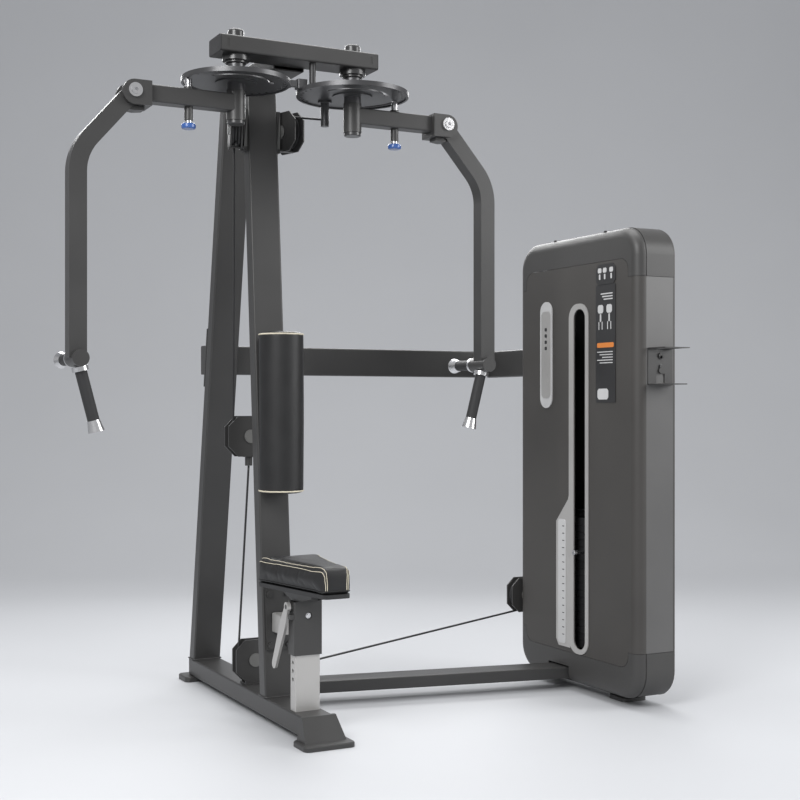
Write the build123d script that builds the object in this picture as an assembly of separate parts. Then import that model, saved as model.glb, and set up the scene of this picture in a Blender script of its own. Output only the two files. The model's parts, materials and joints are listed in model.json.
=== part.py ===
from build123d import *
import math
import os

# Pec deck machine. Millimetres, +Z up, +X towards the weight tower, the user faces -Y.
# The parts are drawn about the middle of the column and moved to the origin at export.
ORIGIN_X, ORIGIN_Y = 260.0, 303.0

# Base rail and feet
RAIL_W, RAIL_Z0, RAIL_Z1, RAIL_Y0, RAIL_Y1, WALL = 100, 18, 78, -115, 915, 3
# Legs: 100 x 50 tubes that lean together under the top beam
LEG_W, LEG_T = 100, 50
FRONT_LEG_Y, FRONT_LEG_LEAN = 171.2, 0.0817
REAR_LEG_Y, REAR_LEG_LEAN = 913.6, -0.1704
BEAM_Z0, BEAM_Z1, BEAM_Y1 = 2010, 2070, 612
# Top bar and arm pivots
BAR_HALF, BAR_D, BAR_Z0, BAR_Z1 = 253, 103, 2020, 2070
PIVOT_X, PIVOT_Y, SHAFT_R, RUN_FIT = 191, 50, 18, 0.05
HUB_Z0, HUB_Z1, CAM_HUB_Z1 = 1828, 1918, 1995.5
# Cam discs
LEFT_DISC_R, RIGHT_DISC_R, DISC_Z0, DISC_Z1, PIN_RING_R = 161, 174, 1937, 1951, 146
STUB = (-49, 100)
# Swing arms
TUBE, ARM_Z0, ARM_Z1, BOLT_X, BOLT_Z, BOLT_R = 50, 1854, 1904, 507, 1878, 12
# Drop arms
DROP_TILT, DROP_X, DROP_BEND_R, CROSS_Z, CROSS_R = 41, 665, 150, 1117, 24
GRIP_TILT, GRIP_R, COLLAR_R = 14.6, 17, 23.5
# Seat and post
POST_X, POST_Y0, POST_Y1, POST_TOP = 40, -45, -5, 326
SLEEVE_X, SLEEVE_Y0, SLEEVE_Y1, SLEEVE_Z0, SLEEVE_Z1 = 45, -50, 0, 244, 403
SEAT_Z0, SEAT_Z1 = 437, 525
# Back pad
PAD_R, PAD_Y, PAD_Z0, PAD_Z1, PAD_FLAT_Y = 71, 166, 713, 1212, 215
# Base crossbeam (plan slope) and upper crossbeam
CROSS_SLOPE, XBEAM_END = -0.2016, 1106
UP_Z0, UP_Z1, UP_Y0, UP_Y1, UP_X0, UP_X1 = 1092, 1192, 733, 783, -50, 1138
# Weight tower
TOW_X, BAND_X0, BAND_X1, COVER_D, OUTER_D = 1145, 1091, 1199, 36, 11
TOW_Y0, TOW_Y1, TOW_Z0, TOW_Z1, TOW_R, SKIN = -250, 450, 30, 1564, 92, 3
CAP_Z_TOP, CAP_Z_LOW = 1400, 186
SLOT_Y, SLOT_W, SLOT_Z0, SLOT_Z1 = 67, 66, 153, 1312
STACK_Y, PLATE_X, PLATE_Y, PLATE_H, PLATES, STACK_TOP, PICKED = 66, 52, 106, 25, 18, 596, 5
ROD_DY, ROD_R = 80, 10
# Cable and pulleys
CABLE_R, PITCH_R, SHEAVE_R, SHEAVE_W, AXLE_R = 3.5, 53, 57, 26, 10
TOP_SHEAVE_Z, TOP_SHEAVE_TAN = 1870, (72, 388)
BLOCK_X, BLOCK_Y, BLOCK_Z = -14, 410, 884
LOW_X, LOW_Y, LOW_Z = 0, 404, 156
TLOW_X, TLOW_Y, TLOW_Z = 1092, 477, 288
TTOP_Z, TREAR_Y, TFRONT_Y = 1420, 424, 119


def block(x0, x1, y0, y1, z0, z1):
    return Pos((x0 + x1) / 2, (y0 + y1) / 2, (z0 + z1) / 2) * Box(x1 - x0, y1 - y0, z1 - z0)


def rod(p, q, r):
    a, b = Vector(*p), Vector(*q)
    stick = Cylinder(r, (b - a).length, align=(Align.CENTER, Align.CENTER, Align.MIN))
    return Plane(origin=a, z_dir=(b - a)) * stick


def cone(p, q, r0, r1):
    a, b = Vector(*p), Vector(*q)
    taper = Cone(r0, r1, (b - a).length, align=(Align.CENTER, Align.CENTER, Align.MIN))
    return Plane(origin=a, z_dir=(b - a)) * taper


def prism_x(points, x0, x1):
    face = Face(Wire.make_polygon([Vector(x0, y, z) for y, z in points], close=True))
    return extrude(face, amount=x1 - x0, dir=(1, 0, 0))


def prism_y(points, y0, y1):
    face = Face(Wire.make_polygon([Vector(x, y0, z) for x, z in points], close=True))
    return extrude(face, amount=y1 - y0, dir=(0, 1, 0))


def prism_z(points, z0, z1):
    face = Face(Wire.make_polygon([Vector(x, y, z0) for x, y in points], close=True))
    return extrude(face, amount=z1 - z0, dir=(0, 0, 1))


def round_along(part, direction, r):
    return fillet(part.edges().filter_by(Axis((0, 0, 0), direction)), r)


def both_sides(part):
    return part + mirror(part, about=Plane.YZ)


def front_leg_y(z):
    return FRONT_LEG_Y + FRONT_LEG_LEAN * (z - RAIL_Z1)


def rear_leg_y(z):
    return REAR_LEG_Y + REAR_LEG_LEAN * (z - RAIL_Z1)


def xbeam_y(x):
    return 404 + CROSS_SLOPE * (x - RAIL_W / 2)


# ---- base ---------------------------------------------------------------------------------

def base_rail():
    tube = round_along(block(-50, 50, RAIL_Y0, RAIL_Y1, RAIL_Z0, RAIL_Z1), (0, 1, 0), 6)
    return tube - block(-46, 46, RAIL_Y0, RAIL_Y1, RAIL_Z0 + 4, RAIL_Z1 - 4)


def front_end_plate():
    wedge = prism_x([(-115.3, 15), (-178, 15), (-127, 80), (-115.3, 80)], -65, 65)
    return wedge & prism_y([(-65, 15), (65, 15), (54, 80), (-54, 80)], -180, -110)


def foot(x0, x1, y0, y1, height):
    pad = round_along(block(x0, x1, y0, y1, 0, height), (0, 0, 1), 18)
    return chamfer(pad.faces().sort_by(Axis.Z)[-1].edges(), 3)


def front_foot_pad():
    return foot(-80, 80, -215, -112, 15)


def rear_foot_pad():
    return foot(-78, 78, 862, 960, RAIL_Z0)


def front_leg():
    z0, z1, t = RAIL_Z1, BEAM_Z0, LEG_T / math.cos(math.atan(FRONT_LEG_LEAN))
    lean = (0, FRONT_LEG_LEAN, 1)

    def bar(inset, half):
        a, b = front_leg_y(z0) + inset, front_leg_y(z1) + inset
        return prism_x([(a, z0), (a + t - 2 * inset, z0), (b + t - 2 * inset, z1), (b, z1)], -half, half)
    return round_along(bar(0, LEG_W / 2), lean, 6) - bar(WALL, LEG_W / 2 - WALL)


def rear_leg():
    z0, z1, t = RAIL_Z1, BEAM_Z0, LEG_T / math.cos(math.atan(REAR_LEG_LEAN))
    lean = (0, REAR_LEG_LEAN, 1)

    def bar(inset, half):
        a, b = rear_leg_y(z0) - inset, rear_leg_y(z1) - inset
        return prism_x([(a, z0), (a - t + 2 * inset, z0), (b - t + 2 * inset, z1), (b, z1)], -half, half)
    return round_along(bar(0, LEG_W / 2), lean, 6) - bar(WALL, LEG_W / 2 - WALL)


def top_beam():
    tube = round_along(block(-50, 50, BAR_D + 0.2, BEAM_Y1, BEAM_Z0, BEAM_Z1), (0, 1, 0), 6)
    return tube - block(-46, 46, BAR_D, BEAM_Y1 - 4, BEAM_Z0 + 4, BEAM_Z1 - 4)


def top_bar():
    tube = round_along(block(-BAR_HALF, BAR_HALF, 0, BAR_D, BAR_Z0, BAR_Z1), (1, 0, 0), 6)
    tube -= block(-BAR_HALF, BAR_HALF, 4, BAR_D - 4, BAR_Z0 + 4, BAR_Z1 - 4)
    for x in (-PIVOT_X, PIVOT_X):
        tube -= rod((x, PIVOT_Y, BAR_Z0 - 1), (x, PIVOT_Y, BAR_Z1 + 1), SHAFT_R + 0.02)
    for x in (-232, 232):
        tube -= block(x - 3, x + 3, -1, 1, 2034, 2056)
    return tube


def bar_end_caps():
    plug = block(BAR_HALF, BAR_HALF + 3, 0.5, BAR_D - 0.5, BAR_Z0 + 0.5, BAR_Z1 - 0.5)
    plug = round_along(plug, (1, 0, 0), 6)
    plug += block(BAR_HALF - 14, BAR_HALF, 4.2, BAR_D - 4.2, BAR_Z0 + 4.2, BAR_Z1 - 4.2)
    return both_sides(plug)


def stop_rod():
    stop = rod((45, 24, 1956), (45, 24, BAR_Z0), 10)
    return fillet(stop.edges().group_by(Axis.Z)[0], 2)


def pivot_shafts():
    shaft = rod((PIVOT_X, PIVOT_Y, 1820), (PIVOT_X, PIVOT_Y, BAR_Z1 + 3), SHAFT_R)
    shaft += rod((PIVOT_X, PIVOT_Y, 1817), (PIVOT_X, PIVOT_Y, HUB_Z0 - 0.5), 26)
    shaft = chamfer(shaft.edges().group_by(Axis.Z)[0], 2)
    return both_sides(shaft)


def flange_bearings():
    ring = rod((PIVOT_X, PIVOT_Y, 2004), (PIVOT_X, PIVOT_Y, BAR_Z0), 40)
    ring += rod((PIVOT_X, PIVOT_Y, 1996), (PIVOT_X, PIVOT_Y, 2004), 32)
    ring = chamfer(ring.edges().group_by(Axis.Z)[0], 2)
    ring -= rod((PIVOT_X, PIVOT_Y, 1990), (PIVOT_X, PIVOT_Y, 2021), SHAFT_R + 0.02)
    return both_sides(ring)


def dome_caps():
    dome = rod((PIVOT_X, PIVOT_Y, BAR_Z1), (PIVOT_X, PIVOT_Y, 2100), 24)
    dome = fillet(dome.edges().group_by(Axis.Z)[-1], 10)
    dome += rod((PIVOT_X, PIVOT_Y, BAR_Z1), (PIVOT_X, PIVOT_Y, BAR_Z1 + 4), 29)
    dome -= rod((PIVOT_X, PIVOT_Y, BAR_Z1 - 1), (PIVOT_X, PIVOT_Y, BAR_Z1 + 3.5), SHAFT_R + 0.02)
    return both_sides(dome)


# ---- crossbeams ---------------------------------------------------------------------------

def base_crossbeam():
    half = 50 / math.cos(math.atan(CROSS_SLOPE))
    a, b = xbeam_y(50.2), xbeam_y(XBEAM_END)
    beam = prism_z([(50.2, a - half), (XBEAM_END, b - half), (XBEAM_END, b + half), (50.2, a + half)], 38, 78)
    beam = round_along(beam, (1, CROSS_SLOPE, 0), 5)
    inner = half - 3
    return beam - prism_z([(50, a - inner), (XBEAM_END + 1, b - inner), (XBEAM_END + 1, b + inner),
                           (50, a + inner)], 41, 75)


def crossbeam_flange():
    y = xbeam_y(XBEAM_END)
    plate = block(XBEAM_END, XBEAM_END + 8, y - 72, y + 72, 30, 80)
    for dy in (-62, 62):
        bolt = rod((XBEAM_END - 8, y + dy, 55), (XBEAM_END, y + dy, 55), 9)
        plate += bolt
    return plate


def upper_crossbeam():
    tube = round_along(block(UP_X0, UP_X1, UP_Y0, UP_Y1, UP_Z0, UP_Z1), (1, 0, 0), 6)
    tube -= block(UP_X0 + 3, UP_X1 - 3, UP_Y0 + 3, UP_Y1 - 3, UP_Z0 + 3, UP_Z1 - 3)
    a, b = rear_leg_y(UP_Z0 - 9) + 8.3, rear_leg_y(UP_Z1 + 9) + 8.3
    tube -= prism_x([(600, UP_Z0 - 9), (a, UP_Z0 - 9), (b, UP_Z1 + 9), (600, UP_Z1 + 9)], -62, 62)
    back = round_along(block(UP_X1 - 40, UP_X1, 453, UP_Y0, UP_Z0, UP_Z1), (0, 1, 0), 5)
    return tube + back


def crossbeam_plates():
    a, b = rear_leg_y(1050) + 0.2, rear_leg_y(1250) + 0.2
    plate = prism_x([(a, 1050), (a + 8, 1050), (b + 8, 1250), (b, 1250)], -50, 50)
    for z in (1070, 1230):
        for x in (-32, 32):
            y = rear_leg_y(z) + 8
            plate += rod((x, y - 2, z), (x, y + 8, z), 9)
    plate += block(1093, UP_X1, TOW_Y1 + 0.3, 452.7, 1070, 1214)
    return plate


# ---- cam discs, arms ----------------------------------------------------------------------

def cam_disc(radius):
    disc = rod((PIVOT_X, PIVOT_Y, DISC_Z0), (PIVOT_X, PIVOT_Y, DISC_Z1), radius)
    disc -= rod((PIVOT_X, PIVOT_Y, DISC_Z0 + 9), (PIVOT_X, PIVOT_Y, DISC_Z1 + 1), radius - 7)
    disc -= rod((PIVOT_X, PIVOT_Y, DISC_Z0 - 1), (PIVOT_X, PIVOT_Y, DISC_Z0 + 4), radius - 7)
    disc += rod((PIVOT_X, PIVOT_Y, DISC_Z0), (PIVOT_X, PIVOT_Y, DISC_Z0 + 6), 62)
    disc += rod((PIVOT_X, PIVOT_Y, HUB_Z1 + 0.5), (PIVOT_X, PIVOT_Y, CAM_HUB_Z1), 26)
    disc -= rod((PIVOT_X, PIVOT_Y, HUB_Z1), (PIVOT_X, PIVOT_Y, CAM_HUB_Z1 + 1), SHAFT_R + RUN_FIT)
    steps = [math.radians(3 * i) for i in range(25)]
    ring = [(PIVOT_X + 152.6 * math.cos(t), PIVOT_Y + 152.6 * math.sin(t)) for t in steps]
    ring += [(PIVOT_X + 139.4 * math.cos(t), PIVOT_Y + 139.4 * math.sin(t)) for t in reversed(steps)]
    disc -= prism_z(ring, DISC_Z0 - 1, DISC_Z0 + 12)
    for turn in (0, math.radians(72)):
        x, y = PIVOT_X + PIN_RING_R * math.cos(turn), PIVOT_Y + PIN_RING_R * math.sin(turn)
        disc -= rod((x, y, DISC_Z0 - 1), (x, y, DISC_Z0 + 12), 6.6)
    for i in range(22):
        turn = math.radians(130 + 10 * i)
        x, y = PIVOT_X + (radius - 17) * math.cos(turn), PIVOT_Y + (radius - 17) * math.sin(turn)
        disc -= rod((x, y, DISC_Z0 - 1), (x, y, DISC_Z0 + 12), 4.5)
    steps = [math.radians(200 + 5 * i) for i in range(27)]
    ring = [(PIVOT_X + 112 * math.cos(t), PIVOT_Y + 112 * math.sin(t)) for t in steps]
    ring += [(PIVOT_X + 99 * math.cos(t), PIVOT_Y + 99 * math.sin(t)) for t in reversed(steps)]
    disc -= prism_z(ring, DISC_Z0 - 1, DISC_Z0 + 12)
    x, y = PIVOT_X + STUB[0], PIVOT_Y + STUB[1]
    disc += rod((x, y, 1862), (x, y, DISC_Z0 + 6), 13) + rod((x, y, DISC_Z0 - 2), (x, y, DISC_Z0 + 6), 22)
    return disc


def right_cam():
    bumper = block(3, 34, 34.3, 66, DISC_Z1 - 6, 1973)
    return cam_disc(RIGHT_DISC_R) + fillet(bumper.edges().filter_by(Axis.Z), 4)


def left_cam():
    hook = block(2, 40, 34, 60, DISC_Z1 - 4, 1966) - block(-1, 14, 47, 61, 1940, 1970)
    return mirror(cam_disc(LEFT_DISC_R) + hook, about=Plane.YZ)


def swing_arm():
    arm = round_along(block(PIVOT_X, 462, 25, 75, ARM_Z0, ARM_Z1), (1, 0, 0), 5)
    arm += rod((PIVOT_X, PIVOT_Y, HUB_Z0), (PIVOT_X, PIVOT_Y, HUB_Z1), 28)
    arm += rod((337, 50, 1815), (337, 50, ARM_Z0 + 2), 12.5) + rod((337, 50, ARM_Z1 - 2), (337, 50, 1912), 14)
    arm -= rod((PIVOT_X, PIVOT_Y, HUB_Z0 - 1), (PIVOT_X, PIVOT_Y, HUB_Z1 + 1), SHAFT_R + RUN_FIT)
    arm -= rod((337, 50, 1800), (337, 50, 1920), 10 + RUN_FIT)
    web = block(458, 478, 8, 92, 1838, 1909)
    for y0, y1 in ((8, 24.5), (75.5, 92)):
        ear = block(470, BOLT_X, y0, y1, 1838, 1909) + rod((BOLT_X, y0, 1873.5), (BOLT_X, y1, 1873.5), 35.5)
        web += ear
    arm += web
    arm -= rod((BOLT_X, 0, BOLT_Z), (BOLT_X, 100, BOLT_Z), BOLT_R + 0.02)
    return arm


def arm_stop():
    s, c = math.sin(math.radians(DROP_TILT)), math.cos(math.radians(DROP_TILT))

    def face(t):
        return (BOLT_X + t * s - 25.4 * c, BOLT_Z - t * c - 25.4 * s)
    a, b = face(30), face(46)
    return prism_y([a, b, (b[0] - 16, b[1] - 2), (474, 1828), (474, 1837.8), (a[0] - 8, 1837.8)], 30, 70)


def arm_bolt():
    bolt = rod((BOLT_X, -2, BOLT_Z), (BOLT_X, 100, BOLT_Z), BOLT_R)
    bolt += rod((BOLT_X, 2, BOLT_Z), (BOLT_X, 8, BOLT_Z), 20) + rod((BOLT_X, 92, BOLT_Z), (BOLT_X, 98, BOLT_Z), 20)
    return bolt - Pos(BOLT_X, 0, BOLT_Z) * Rot(90, 0, 0) * extrude(RegularPolygon(6, 6), amount=9, both=True)


def pull_pin():
    pin = rod((337, 50, 1798), (337, 50, 1936), 10) + rod((337, 50, 1930), (337, 50, 1943), 6)
    knob = rod((337, 50, 1790), (337, 50, 1806), 21)
    return pin, fillet(knob.edges().filter_by(GeomType.CIRCLE), 5) - pin


def pull_pin_stem():
    return pull_pin()[0]


def pull_pin_knob():
    return pull_pin()[1]


def drop_arm():
    s, c = math.sin(math.radians(DROP_TILT)), math.cos(math.radians(DROP_TILT))
    half = TUBE / 2
    corner_z = BOLT_Z - (DROP_X - BOLT_X) * c / s
    pinch = half * math.tan(math.radians(DROP_TILT / 2))
    outline = [(BOLT_X + half * c, BOLT_Z + half * s), (DROP_X + half, corner_z + pinch),
               (DROP_X + half, CROSS_Z), (DROP_X - half, CROSS_Z),
               (DROP_X - half, corner_z - pinch), (BOLT_X - half * c, BOLT_Z - half * s)]
    arm = prism_y(outline, 25, 75)
    bends = arm.edges().filter_by(Axis.Y).sort_by(lambda e: abs(e.center().Z - corner_z))[:2]
    outer, inner = sorted(bends, key=lambda e: -e.center().X)
    arm = fillet(outer, DROP_BEND_R + half)
    inner = arm.edges().filter_by(Axis.Y).sort_by(lambda e: abs(e.center().X - (DROP_X - half))
                                                 + abs(e.center().Z - corner_z + pinch))[0]
    arm = fillet(inner, DROP_BEND_R - half)
    arm += rod((BOLT_X, 25, BOLT_Z), (BOLT_X, 75, BOLT_Z), half)
    arm -= rod((BOLT_X, 20, BOLT_Z), (BOLT_X, 80, BOLT_Z), BOLT_R + RUN_FIT)
    arm += rod((661, 8, CROSS_Z), (661, 106, CROSS_Z), CROSS_R)
    return arm


def grip_line(d):
    t = math.radians(GRIP_TILT)
    return (661 - d * math.sin(t), 50, CROSS_Z - d * math.cos(t))


def grip_collars():
    parts = rod((661, 106.2, CROSS_Z), (661, 118, CROSS_Z), COLLAR_R)
    parts += cone((661, 205, CROSS_Z), (661, 238, CROSS_Z), GRIP_R + 1, COLLAR_R + 1)
    parts += rod(grip_line(24), grip_line(37), COLLAR_R) - rod((661, 0, CROSS_Z), (661, 105, CROSS_Z), CROSS_R + 0.2)
    parts += cone(grip_line(180), grip_line(213), GRIP_R + 1, COLLAR_R)
    return parts


def grip_sleeves():
    parts = rod((661, 118.2, CROSS_Z), (661, 204.8, CROSS_Z), GRIP_R)
    return parts + rod(grip_line(37.2), grip_line(179.8), GRIP_R)


# ---- seat ---------------------------------------------------------------------------------

def seat_post():
    post = round_along(block(-POST_X, POST_X, POST_Y0, POST_Y1, RAIL_Z1, POST_TOP), (0, 0, 1), 4)
    post -= block(-POST_X + 3, POST_X - 3, POST_Y0 + 3, POST_Y1 - 3, RAIL_Z1, POST_TOP)
    for i in range(7):
        z = 171 + 25 * i
        post -= rod((-POST_X - 1, -25, z), (-POST_X + 4, -25, z), 6)
    return post


def seat_sleeve():
    gap = 0.3
    tube = round_along(block(-SLEEVE_X, SLEEVE_X, SLEEVE_Y0, SLEEVE_Y1, SLEEVE_Z0, SLEEVE_Z1), (0, 0, 1), 5)
    tube -= block(-POST_X - gap, POST_X + gap, POST_Y0 - gap, POST_Y1 + gap, SLEEVE_Z0 - 1, SLEEVE_Z1 + 1)
    tube -= rod((0, SLEEVE_Y0 - 1, 361), (0, SLEEVE_Y0 + 6, 361), 11)
    top = prism_x([(-150, 437), (-150, 425), (-50, 403.2), (0, 403.2), (82, 425), (82, 437)], -34, 34)
    top -= prism_x([(-160, 430), (-60, 430), (-60, 396), (10, 396), (10, 430), (90, 430), (90, 390),
                    (-160, 390)], -28, 28)
    return tube + top


def lever_boss():
    boss = rod((-SLEEVE_X - 6, -25, 388), (-SLEEVE_X, -25, 388), 15)
    boss += block(-SLEEVE_X - 13, -SLEEVE_X, -47, -31, 352, 366)
    return boss + rod((-SLEEVE_X - 18, -25, 388), (-SLEEVE_X - 6, -25, 388), 7)


def seat_lever():
    a, b = (-57, -25, 388), (-57, 74, 203)
    lever = rod((-62.5, -25, 388), (-51.3, -25, 388), 14)
    d = (Vector(*b) - Vector(*a)).normalized()
    n = Vector(0, d.Z, -d.Y)
    m = Vector(*a) + d * 62
    pts = [Vector(*a) + n * 12, m + n * 20, Vector(*b) + n * 14, Vector(*b) - n * 14, m - n * 20, Vector(*a) - n * 12]
    lever += prism_x([(p.Y, p.Z) for p in pts], -61, -53)
    lever += rod((-61, b[1], b[2]), (-53, b[1], b[2]), 14)
    return lever - rod((-70, -25, 388), (-50, -25, 388), 7 + RUN_FIT)


def seat_board():
    plan = [(-103, 108), (103, 108), (40, -258), (-40, -258)]
    board = prism_z(plan, SEAT_Z0, SEAT_Z0 + 12)
    return round_along(board, (0, 0, 1), 14)


def seat_pad():
    plan = [(-107, 112), (107, 112), (44, -262), (-44, -262)]
    pad = round_along(prism_z(plan, SEAT_Z0 + 12.2, SEAT_Z1), (0, 0, 1), 16)
    front = pad.faces().sort_by(Axis.Z)[-1].edges()
    return fillet(front, 14)


def seat_brace():
    y = front_leg_y
    plate = prism_x([(y(225) - 8.3, 225), (y(225) - 0.3, 225), (y(410) - 0.3, 410), (y(410) - 8.3, 410)], -42, 42)
    for x in (-30, 30):
        for z in (239, 396):
            plate += rod((x, y(z) - 15, z), (x, y(z) - 6, z), 9)
    return plate


def brace_bar():
    bar = round_along(block(-24, 24, 112, front_leg_y(280) - 8.6, 280, 340), (0, 1, 0), 5)
    return bar


def back_pad():
    roll = rod((0, PAD_Y, PAD_Z0), (0, PAD_Y, PAD_Z1), PAD_R)
    roll -= block(-80, 80, PAD_FLAT_Y, 300, PAD_Z0 - 1, PAD_Z1 + 1)
    ends = roll.edges().group_by(Axis.Z)
    return fillet(ends[0] + ends[-1], 5)


def pad_mount():
    y = front_leg_y
    z0, z1 = PAD_Z0 + 20, PAD_Z1 - 20
    return prism_x([(PAD_FLAT_Y + 0.3, z0), (y(z0) - 0.3, z0), (y(z1) - 0.3, z1), (PAD_FLAT_Y + 0.3, z1)], -38, 38)


# ---- pulleys and cables -------------------------------------------------------------------

def sheave():
    wheel = Rot(90, 0, 0) * Cylinder(SHEAVE_R, SHEAVE_W)
    half = [(49.2, 2.5), (53, 4.2), (58, 7.5)]
    groove = [(r, h) for r, h in half] + [(r, -h) for r, h in reversed(half)]
    face = Face(Wire.make_polygon([Vector(r, h, 0) for r, h in groove], close=True))
    wheel -= revolve(face, Axis.Y)
    for y in (-1, 1):
        dish = Pos(0, y * (SHEAVE_W / 2), 0) * Rot(90, 0, 0) * (Cylinder(43, 8) - Cylinder(20, 8))
        wheel -= dish
    return wheel - Rot(90, 0, 0) * Cylinder(AXLE_R + RUN_FIT, SHEAVE_W + 1)


def cheeks(half_w, half_h, cut, up, down):
    pts = [(-half_w, -half_h + cut), (-half_w + cut, -half_h), (half_w - cut, -half_h), (half_w, -half_h + cut),
           (half_w, half_h - cut), (half_w - cut, half_h), (-half_w + cut, half_h), (-half_w, half_h - cut)]
    pair = prism_y(pts, 15, 20) + prism_y(pts, -20, -15)
    pair += Rot(90, 0, 0) * Cylinder(AXLE_R, 46) + rod((0, 20, 0), (0, 24, 0), 22) + rod((0, -24, 0), (0, -20, 0), 22)
    if down:
        pair += block(-15, 15, -16, 16, -half_h - 2, -half_h + 6)
    if up:
        pair += block(-15, 15, -16, 16, half_h - 6, half_h + 2)
    return pair


def top_sheave_frame():
    x, y = TOP_SHEAVE_TAN
    sx, sy = PIVOT_X + STUB[0], PIVOT_Y + STUB[1]
    run = math.hypot(sx - x, sy - y)
    ux, uy = (sx - x) / run, (sy - y) / run
    return x + PITCH_R * ux, y + PITCH_R * uy, ux, uy, run - PITCH_R


def on_top_sheave(part):
    cx, cy, ux, uy, _ = top_sheave_frame()
    return Pos(cx, cy, TOP_SHEAVE_Z) * Rot(0, 0, math.degrees(math.atan2(uy, ux))) * part


def top_sheave():
    return on_top_sheave(sheave())


def top_sheave_cheeks():
    cheek = on_top_sheave(cheeks(70, 64, 30, False, False))
    arm = block(50.3, 110, 322, 338, 1806, 1812) + block(50.3, 56, 322, 362, 1798, 1812)
    lug = block(50.3, 62, 325, 352, 1800, 1940) & on_top_sheave(block(-20, 25, -40, -14, -80, 64))
    return cheek + arm + lug


def block_frame():
    part = Pos(BLOCK_X, BLOCK_Y, BLOCK_Z) * cheeks(76, 66, 34, False, True)
    bottom = BLOCK_Z - 66
    return part + rod((BLOCK_X, BLOCK_Y, bottom - 30), (BLOCK_X, BLOCK_Y, bottom), 12)


def block_sheave():
    return Pos(BLOCK_X, BLOCK_Y, BLOCK_Z) * sheave()


def low_sheave():
    return Pos(LOW_X, LOW_Y, LOW_Z) * sheave()


def low_cheeks():
    pair = Pos(LOW_X, LOW_Y, LOW_Z) * cheeks(66, 66, 30, False, False)
    for y in (-20, 15):
        pair += block(LOW_X - 34, LOW_X + 34, LOW_Y + y, LOW_Y + y + 5, RAIL_Z1, LOW_Z - 40)
    return pair + block(LOW_X - 34, LOW_X + 34, LOW_Y - 30, LOW_Y + 30, RAIL_Z1, RAIL_Z1 + 5)


def tower_low_sheave():
    return Pos(TLOW_X, TLOW_Y, TLOW_Z) * sheave()


def tower_low_cheeks():
    pair = Pos(TLOW_X, TLOW_Y, TLOW_Z) * cheeks(62, 62, 28, False, False)
    tie = block(TLOW_X + 20, TLOW_X + 62, TOW_Y1 + 0.3, TLOW_Y + 20, TLOW_Z - 88, TLOW_Z - 61)
    return pair + tie


def tower_sheave(y):
    return Pos(TOW_X, y, TTOP_Z) * Rot(0, 0, 90) * sheave()


def tower_front_sheave():
    return tower_sheave(TFRONT_Y)


def tower_rear_sheave():
    return tower_sheave(TREAR_Y)


def tower_cheeks():
    parts = None
    for y in (TFRONT_Y, TREAR_Y):
        pair = Pos(TOW_X, y, TTOP_Z) * Rot(0, 0, 90) * (
            block(-22, 22, 15, 20, -67, 22) + block(-22, 22, -20, -15, -67, 22)
            + Rot(90, 0, 0) * Cylinder(AXLE_R, 46))
        parts = pair if parts is None else parts + pair
    return parts


def bend(centre, u, w, a0, a1):
    def at(a):
        t = math.radians(a)
        return Vector(*centre) + Vector(*u) * (PITCH_R * math.cos(t)) + Vector(*w) * (PITCH_R * math.sin(t))
    path = ThreePointArc(at(a0), at((a0 + a1) / 2), at(a1))
    return sweep(Plane(origin=path @ 0, z_dir=path % 0) * Circle(CABLE_R), path=path)


def cam_cable():
    cx, cy, ux, uy, reach = top_sheave_frame()
    rise = 15
    gone = math.hypot(reach, rise)
    out = math.degrees(math.atan2(rise, reach) + math.acos(PITCH_R / gone))
    centre = (cx, cy, TOP_SHEAVE_Z)
    part = bend(centre, (ux, uy, 0), (0, 0, 1), 180, out)
    t = math.radians(out)
    start = Vector(cx + ux * PITCH_R * math.cos(t), cy + uy * PITCH_R * math.cos(t),
                   TOP_SHEAVE_Z + PITCH_R * math.sin(t))
    end = Vector(cx + ux * reach, cy + uy * reach, TOP_SHEAVE_Z + rise)
    end = end - (end - start).normalized() * 14.6
    return part + rod(tuple(start), tuple(end), CABLE_R)


def block_span(side):
    x, y = TOP_SHEAVE_TAN
    return rod((side * x, y, TOP_SHEAVE_Z - 0.6), (BLOCK_X + side * PITCH_R, BLOCK_Y, BLOCK_Z + 0.6), CABLE_R)


def block_loop():
    return bend((BLOCK_X, BLOCK_Y, BLOCK_Z), (1, 0, 0), (0, 0, 1), 180, 360)


def main_angles():
    drop = BLOCK_Z - 96 - LOW_Z
    side = BLOCK_X - LOW_X
    first = math.degrees(math.atan2(drop, side) + math.acos(PITCH_R / math.hypot(side, drop)))
    slope = math.degrees(math.atan2(TLOW_Z - LOW_Z, TLOW_X - LOW_X))
    return first, slope


def main_cable_rise():
    first, _ = main_angles()
    t = math.radians(first)
    end = (LOW_X + PITCH_R * math.cos(t), LOW_Y, LOW_Z + PITCH_R * math.sin(t) + 0.8)
    return rod((BLOCK_X, BLOCK_Y, BLOCK_Z - 96.8), end, CABLE_R)


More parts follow.
